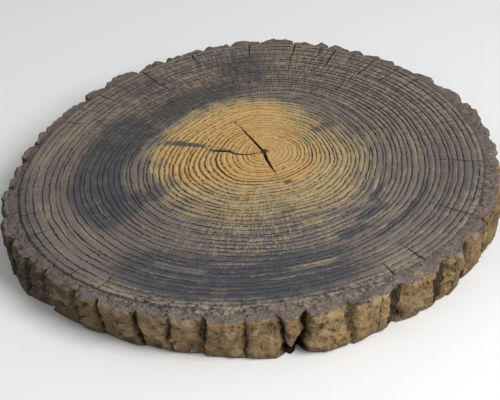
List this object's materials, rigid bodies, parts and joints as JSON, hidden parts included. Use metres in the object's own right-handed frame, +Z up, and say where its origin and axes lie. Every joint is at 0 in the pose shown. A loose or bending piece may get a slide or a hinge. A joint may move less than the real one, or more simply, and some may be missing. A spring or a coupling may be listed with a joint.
{
  "type": "garden stepping stone",
  "caption": "Round cast-concrete stepping stone shaped like a log slice, with growth rings and cracks on top and a furrowed bark edge, laid flat on the ground as a path slab.",
  "frame": {"origin": "middle of the underside, on the ground", "axes": "+Z is up out of the sawn face, +Y points to the back of the picture, +X to its right"},
  "size_m": [0.3948, 0.4, 0.04],
  "materials": {
    "concrete": "matte, stained ochre and slate"
  },
  "bodies": {
    "root": {"stepping_stone": "concrete"}
  },
  "joints": []
}
